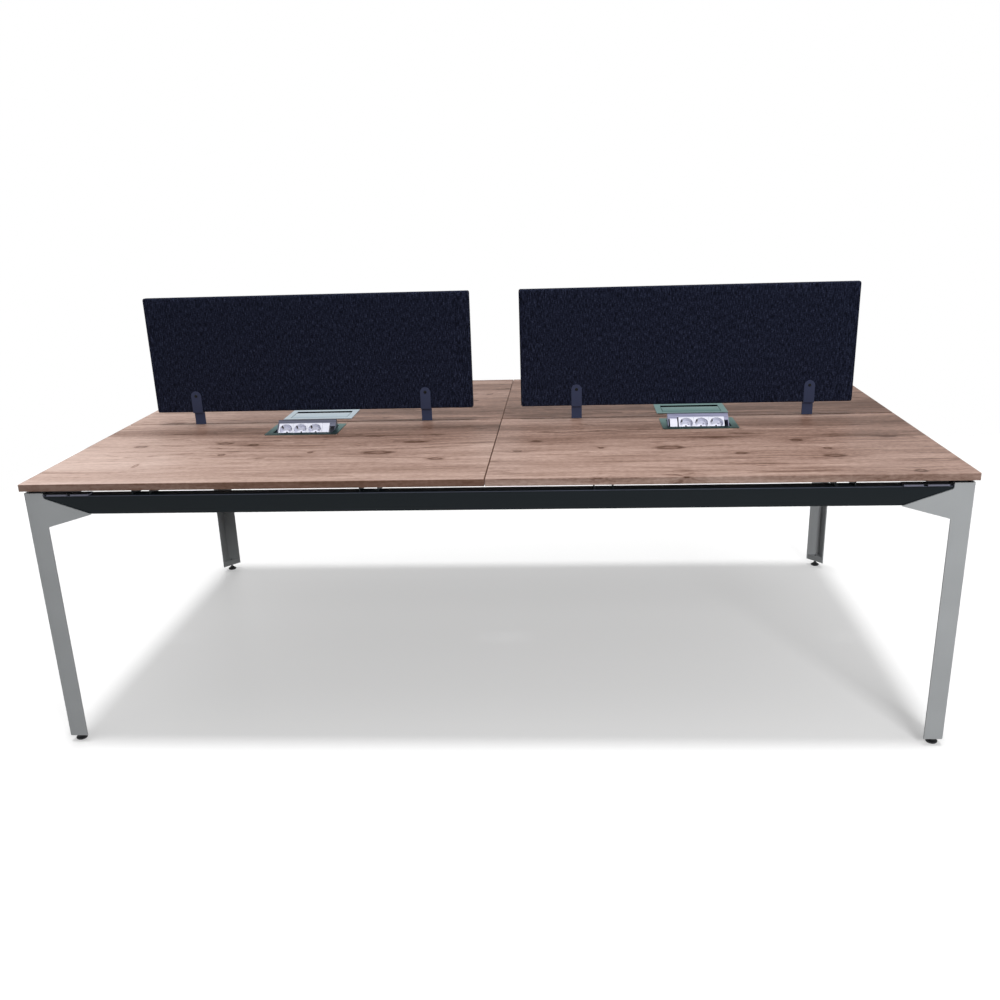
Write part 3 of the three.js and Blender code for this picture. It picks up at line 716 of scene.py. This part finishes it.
clip_brass = brushed_metal("sprung_clip_metal", tint(70, 60, 52), 0.34, clear)
socket_pitch, socket_floor, module_edge = 0.045, 0.0075, 0.0004
socket_head_radius, socket_head_height = 0.0026, 0.0016
socket_head = (socket_head_radius, socket_head_height, clip_brass)
face_tilt = {"front": math.radians(50), "rear": math.radians(-10)}
record_openings = frame["record"]["physics"]["openings"]
openings = {opening["name"]: np.array(opening["box_m"]) for opening in record_openings}
for corner in corners:
    row = corner.split("_")[0]
    toward = -1 if row == "front" else 1
    tilt = face_tilt[row]
    across = np.array([-toward, 0, 0])
    up = np.array([0, -toward * math.sin(tilt), math.cos(tilt)])
    normal = np.array([0, toward * math.cos(tilt), math.sin(tilt)])
    sockets = np.stack([openings[f"socket_{number}_{corner}"].mean(0) for number in (1, 2, 3)])
    joints = [sockets[1, 0] - socket_pitch / 2, sockets[1, 0] + socket_pitch / 2]
    white_plastic = white_moulding("white_moulding_" + corner, joints)
    softened("socket_strip_" + corner, module_edge, white_plastic)
    softened("blank_module_" + corner, module_edge, white_plastic)
    clips = earth_clips("earth_clips_" + corner, sockets, across, up, normal)
    clips.data.materials.append(clip_brass)
    floors = sockets - socket_floor * normal
    screws = button_heads("socket_screws_" + corner, floors, normal, across, *socket_head)
    for small in (clips, screws):
        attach(small, "flap_" + corner)


# Desk screens: a chipboard core in a tight sewn cover of navy woven cloth, open in a slot along the bottom.
# The cover is drawn over foam-soft edges, so its faces swell by a millimetre and its corners are round.
def screen_cover(name, low, high):
    """A closed upright section carried along X. The section is a rounded rectangle with a slot below, whose
    long faces swell by S (1 - (2h)^6) (1 - e^6), h the height from its middle over the whole height, and e
    the distance from mid-length over half the length. At each end it draws in as a quarter circle."""
    swell, soft, slot_half, slot_deep = 0.0010, 0.005, 0.006, 0.0022
    bends, rows, columns, power = 7, 61, 31, 6
    half_y = (high.y - low.y) / 2
    length = high.x - low.x
    tall = high.z - low.z
    bend = np.linspace(0, np.pi / 2, bends)
    rising, falling = soft * (1 - np.cos(bend)), soft * (1 - np.sin(bend))
    run = np.linspace(soft, length - soft, rows)[1:-1]
    climb = np.linspace(soft, tall - soft, columns)[1:-1]
    step = np.concatenate([rising, run, length - rising[::-1]])
    inset = np.concatenate([falling, 0 * run, falling[::-1]])
    slot_y, slot_z = [0, -slot_half, -slot_half], [slot_deep, slot_deep, 0]
    side_y = np.concatenate([slot_y, -half_y + falling, 0 * climb - half_y, -half_y + rising])
    side_z = np.concatenate([slot_z, rising, climb, tall - falling])
    section_y = np.concatenate([side_y, -side_y[:0:-1]])
    section_z = np.concatenate([side_z, side_z[:0:-1]])
    from_end = np.minimum(step, length - step) / (0.5 * length)
    body = 1 - (1 - from_end[:, None]) ** power
    pillow = swell * body * (1 - (2 * section_z / tall - 1) ** power)
    on_face = np.abs(section_y) > 0.9 * half_y
    y = section_y * (1 - inset[:, None] / half_y) + np.sign(section_y) * pillow * on_face
    z = low.z + tall / 2 + (section_z - tall / 2) * (1 - inset[:, None] / (tall / 2))
    x = low.x + step[:, None] + 0 * z
    return skin(name, np.stack([x, y, z], -1)[None])


def woven_cloth():
    """Plain weave on X and height: warp and weft are two combed noises, mixed by a checker of threads."""
    thread_pitch = 0.0016
    upright_waves, level_waves = (450.0, 450.0, 70.0), (150.0, 150.0, 450.0)
    finish, shader, place = new_finish("navy_weave")
    shader["Sheen Weight"].default_value = 0.04
    shader["Sheen Roughness"].default_value = 0.5
    shader["Specular IOR Level"].default_value = 0.04
    across = coordinate(place, "X") + coordinate(place, "Y")
    level = coordinate(place, "Z")
    thread = 2 * math.pi / thread_pitch
    warp = 0.5 + 0.5 * across.math("SINE", across * thread)
    weft = 0.5 + 0.5 * level.math("SINE", level * thread)
    checker = across.math("SINE", across * (thread / 2)) * level.math("SINE", level * (thread / 2))
    over = checker.math("GREATER_THAN", checker, 0.0)
    warp_yarn = noise(stretched(place, upright_waves), scale=1.0, detail=2.0)
    weft_yarn = noise(stretched(place, level_waves), scale=1.0, detail=2.0)
    yarn = 0.6 * warp_yarn + 0.4 * weft_yarn
    height = over * warp + (1 - over) * weft
    tone = 0.5 + 1.8 * (yarn - 0.5) + 0.16 * (height - 0.5)
    shades = [tint(9, 11, 20), tint(25, 29, 45), tint(41, 46, 66), tint(70, 77, 102)]
    ramp = {"stops": list(zip((0.25, 0.48, 0.66, 0.9), shades))}
    place.node("ShaderNodeValToRGB", ramp, {0: tone}).into(shader["Base Color"])
    (0.95 - 0.1 * yarn).into(shader["Roughness"])
    bumped(height + 0.6 * yarn, strength=0.35, distance=0.0006).into(shader["Normal"])
    return finish


def chip_board():
    """Pressed wood chips: cells of differing tone with a rough, pitted surface."""
    finish, shader, place = new_finish("bare_chipboard")
    chip = place.node("ShaderNodeTexVoronoi", inputs={"Vector": place, "Scale": 420.0}, output="Color")
    pick = place.node("ShaderNodeSeparateColor", inputs={0: chip})
    mixed(pick, tint(150, 112, 70), tint(206, 172, 124)).into(shader["Base Color"])
    (0.8 + 0.15 * pick).into(shader["Roughness"])
    bumped(pick, strength=0.4, distance=0.0004).into(shader["Normal"])
    return finish


navy_weave = woven_cloth()
bare_chipboard = chip_board()
for side in ("left", "right"):
    core = frame["nodes"]["screen_core_" + side]
    core.data.materials.clear()
    core.data.materials.append(bare_chipboard)
    cover = screen_cover("screen_cloth_" + side, *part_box("screen_cover_" + side))
    cover.data.materials.append(navy_weave)
    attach(cover, "desk")
    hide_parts("screen_cover_" + side)


# Screen straps: folded strip steel in pairs, coated slate, gripping the screen from both faces.
# Each pair drops through the seam between the worktops, turns out under them, and is screwed through.
slate = powder_coat("slate_coat", tint(58, 65, 90), rough=0.5, shine=0.15)
strap_sheet, strap_edge, hole_drop = 0.0025, 0.0004, 0.015
strap_head_radius, strap_head_height = 0.0048, 0.0027
strap_head = (strap_head_radius, strap_head_height, black_steel)
strap_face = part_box("screen_cover_left")[1].y + strap_sheet
for row, toward in (("front", -1), ("rear", 1)):
    holes = []
    for number in range(1, 5):
        strap = f"screen_strap_{row}_{number}"
        softened(strap, strap_edge, slate)
        strap_low, strap_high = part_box(strap)
        strap_middle = (strap_low.x + strap_high.x) / 2
        holes.append((strap_middle, toward * strap_face, strap_high.z - hole_drop))
    screws = button_heads("strap_screws_" + row, holes, (0, toward, 0), rightward, *strap_head)
    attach(screws, "desk")
